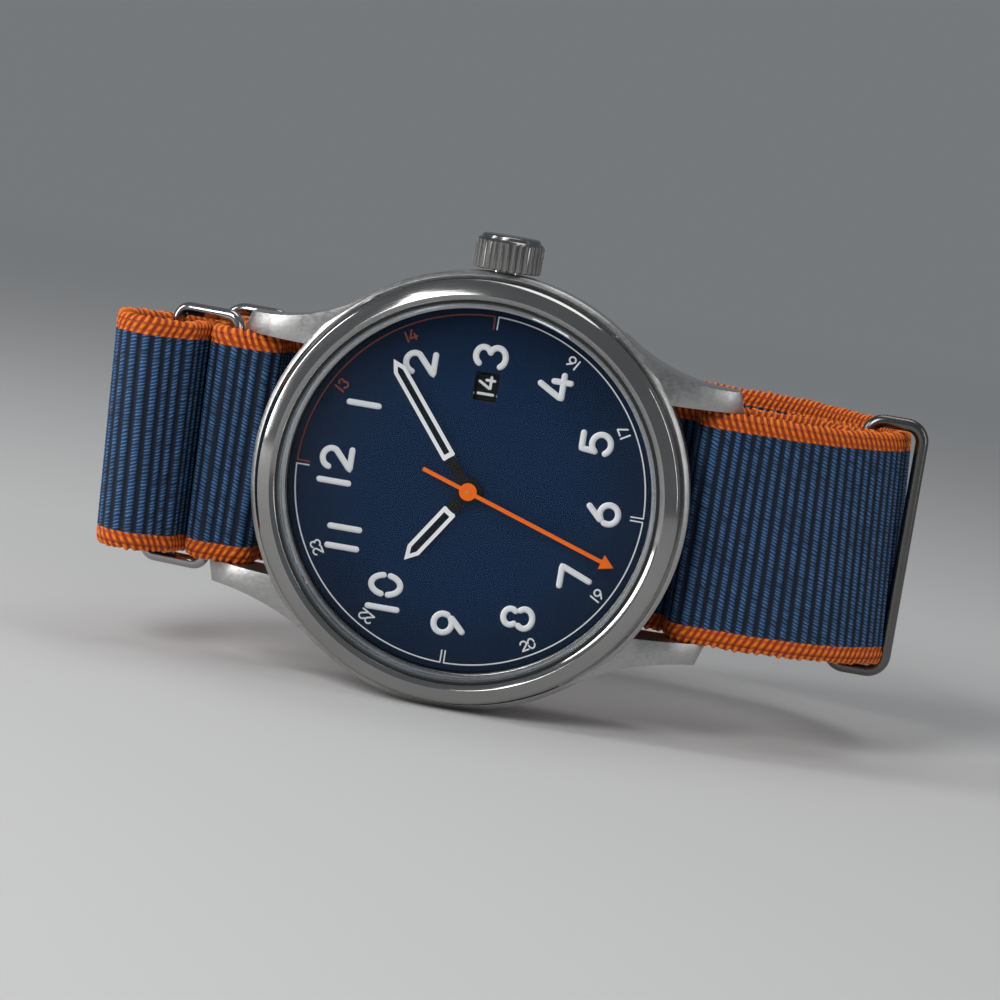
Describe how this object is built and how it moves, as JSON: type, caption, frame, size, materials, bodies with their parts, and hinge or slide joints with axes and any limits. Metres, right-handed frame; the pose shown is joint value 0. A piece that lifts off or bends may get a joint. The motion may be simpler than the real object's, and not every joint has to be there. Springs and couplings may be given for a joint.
{
  "type": "wristwatch",
  "caption": "Analogue field wristwatch with a date, on a ribbed woven pull-through strap with a buckle, keepers and end ring, closed in a loop.",
  "frame": {"origin": "middle of the crystal's outer flat face, on the hands' axis", "axes": "-Y out of the dial towards the wearer's eye, +Z towards 3 o'clock and the crown, +X towards 6 o'clock"},
  "size_m": [0.0772, 0.0415, 0.0444],
  "materials": {
    "case_steel": "brushed",
    "polished_steel": "polished",
    "crown_steel": "satin",
    "crystal_glass": "clear, polished",
    "seal_rubber": "matte",
    "flange_black": "polished dark",
    "holder_plastic": "moulded",
    "dial_blue": "satin",
    "date_black": "matte",
    "hand_white": "satin",
    "hand_slot": "matte",
    "hand_orange": "satin",
    "brass": "machined",
    "movement_nickel": "nickel plated",
    "wheel_plastic": "moulded",
    "coil_copper": "enamelled wire",
    "board_green": "satin",
    "webbing": "woven, ribbed",
    "dark_ring": "dark, satin"
  },
  "bodies": {
    "case": {"case_middle": "case_steel", "bezel": "polished_steel", "crystal": "crystal_glass", "crystal_gasket": "seal_rubber", "flange_ring": "flange_black", "caseback": "case_steel", "caseback_gasket": "seal_rubber", "crown_tube": "polished_steel", "movement_holder": "holder_plastic", "dial": "dial_blue", "mainplate": "brass", "train_bridge": "movement_nickel", "stator": "movement_nickel", "coil": "coil_copper", "circuit_board": "board_green", "quartz_crystal": "movement_nickel", "battery": "polished_steel", "battery_clamp": "movement_nickel", "movement_screws": "movement_nickel", "spring_bar_12": "polished_steel", "spring_bar_6": "polished_steel", "main_strap": "webbing", "under_strap": "webbing"},
    "seconds": {"seconds_hand": "hand_orange", "seconds_wheel": "brass"},
    "minutes": {"minute_hand": "hand_white", "minute_hand_lume": "hand_slot", "centre_wheel": "brass"},
    "hours": {"hour_hand": "hand_white", "hour_hand_lume": "hand_slot", "hour_wheel": "brass"},
    "third": {"third_wheel": "brass"},
    "minute_gear": {"minute_wheel": "brass"},
    "date_drive": {"date_driving_wheel": "brass"},
    "intermediate": {"intermediate_wheel": "wheel_plastic"},
    "rotor": {"rotor": "movement_nickel"},
    "date": {"date_ring": "date_black"},
    "crown_slider": {"crown_gasket": "seal_rubber"},
    "crown": {"crown": "crown_steel", "stem": "polished_steel"},
    "clutch": {"sliding_pinion": "brass"},
    "lever": {"setting_lever": "movement_nickel"},
    "tip_12_upper": {"spring_tip_12_upper": "polished_steel"},
    "tip_12_lower": {"spring_tip_12_lower": "polished_steel"},
    "tip_6_upper": {"spring_tip_6_upper": "polished_steel"},
    "tip_6_lower": {"spring_tip_6_lower": "polished_steel"},
    "end_ring": {"end_ring": "dark_ring"},
    "keeper_front": {"keeper_front": "polished_steel"},
    "keeper_rear": {"keeper_rear": "polished_steel"},
    "buckle_frame": {"buckle_frame": "polished_steel"},
    "buckle_tongue": {"buckle_tongue": "polished_steel"}
  },
  "joints": [
    {"name": "seconds_spin", "type": "hinge", "parent": "case", "child": "seconds", "pos_m": [0, 0.0021, 0], "axis": [0, 1, 0], "continuous": true},
    {"name": "minutes_spin", "type": "hinge", "parent": "case", "child": "minutes", "pos_m": [0, 0.0025, 0], "axis": [0, 1, 0], "continuous": true},
    {"name": "hours_spin", "type": "hinge", "parent": "case", "child": "hours", "pos_m": [0, 0.0029, 0], "axis": [0, 1, 0], "continuous": true},
    {"name": "third_spin", "type": "hinge", "parent": "case", "child": "third", "pos_m": [0.00265, 0.0063, -0.00153], "axis": [0, 1, 0], "continuous": true},
    {"name": "minute_gear_spin", "type": "hinge", "parent": "case", "child": "minute_gear", "pos_m": [-0.00068, 0.0045, -0.00188], "axis": [0, 1, 0], "continuous": true},
    {"name": "date_drive_spin", "type": "hinge", "parent": "case", "child": "date_drive", "pos_m": [0.0024, 0.0042, 0.00416], "axis": [0, 1, 0], "continuous": true},
    {"name": "intermediate_spin", "type": "hinge", "parent": "case", "child": "intermediate", "pos_m": [-0.0031, 0.0063, -0.00055], "axis": [0, 1, 0], "continuous": true},
    {"name": "rotor_spin", "type": "hinge", "parent": "case", "child": "rotor", "pos_m": [-0.00494, 0.006, 0.00012], "axis": [0, 1, 0], "continuous": true},
    {"name": "date_turn", "type": "hinge", "parent": "case", "child": "date", "pos_m": [0, 0.0039, 0], "axis": [0, 1, 0], "continuous": true},
    {"name": "crown_pull", "type": "slide", "parent": "case", "child": "crown_slider", "axis": [0, 0, 1], "range_m": [0, 0.0012]},
    {"name": "crown_turn", "type": "hinge", "parent": "crown_slider", "child": "crown", "pos_m": [0, 0.0052, 0.022], "axis": [0, 0, 1], "continuous": true},
    {"name": "clutch_slide", "type": "slide", "parent": "crown", "child": "clutch", "axis": [0, 0, 1], "range_m": [-0.0017, 0]},
    {"name": "lever_turn", "type": "hinge", "parent": "case", "child": "lever", "pos_m": [0.0026, 0.0058, 0.0102], "axis": [0, 1, 0], "range_deg": [0, 26.68]},
    {"name": "tip_12_upper_press", "type": "slide", "parent": "case", "child": "tip_12_upper", "axis": [0, 0, -1], "range_m": [0, 0.0011], "stiffness_N_per_m": 200, "springref_m": -0.004},
    {"name": "tip_12_lower_press", "type": "slide", "parent": "case", "child": "tip_12_lower", "axis": [0, 0, 1], "range_m": [0, 0.0011], "stiffness_N_per_m": 200, "springref_m": -0.004},
    {"name": "tip_6_upper_press", "type": "slide", "parent": "case", "child": "tip_6_upper", "axis": [0, 0, -1], "range_m": [0, 0.0011], "stiffness_N_per_m": 200, "springref_m": -0.004},
    {"name": "tip_6_lower_press", "type": "slide", "parent": "case", "child": "tip_6_lower", "axis": [0, 0, 1], "range_m": [0, 0.0011], "stiffness_N_per_m": 200, "springref_m": -0.004},
    {"name": "end_ring_swing", "type": "hinge", "parent": "case", "child": "end_ring", "pos_m": [0.0356, 0.0152, 0], "axis": [0, 0, 1], "range_deg": [-6, 4]},
    {"name": "keeper_front_swing", "type": "hinge", "parent": "case", "child": "keeper_front", "pos_m": [-0.0247, 0.0085, 0], "axis": [0, 0, 1], "range_deg": [-5, 5]},
    {"name": "keeper_rear_slide", "type": "slide", "parent": "case", "child": "keeper_rear", "axis": [-0.1392, -0.9903, 0], "range_m": [-0.0008, 0.0003]},
    {"name": "buckle_swing", "type": "hinge", "parent": "case", "child": "buckle_frame", "pos_m": [-0.014, 0.034, 0], "axis": [0, 0, 1], "range_deg": [0, 6]},
    {"name": "tongue_swing", "type": "hinge", "parent": "buckle_frame", "child": "buckle_tongue", "pos_m": [-0.014, 0.034, 0], "axis": [0, 0, 1], "range_deg": [0, 5]}
  ],
  "couplings": [
    {"joint": "minutes_spin", "follows": "seconds_spin", "ratio": 0.016667},
    {"joint": "hours_spin", "follows": "seconds_spin", "ratio": 0.0013889},
    {"joint": "third_spin", "follows": "seconds_spin", "ratio": -0.13333},
    {"joint": "minute_gear_spin", "follows": "seconds_spin", "ratio": -0.0055556},
    {"joint": "date_drive_spin", "follows": "seconds_spin", "ratio": -0.00069444},
    {"joint": "intermediate_spin", "follows": "seconds_spin", "ratio": -5},
    {"joint": "rotor_spin", "follows": "seconds_spin", "ratio": 30},
    {"joint": "lever_turn", "follows": "crown_pull", "rad_per_m": 388.11},
    {"joint": "clutch_slide", "follows": "crown_pull", "ratio": -1.4167}
  ]
}
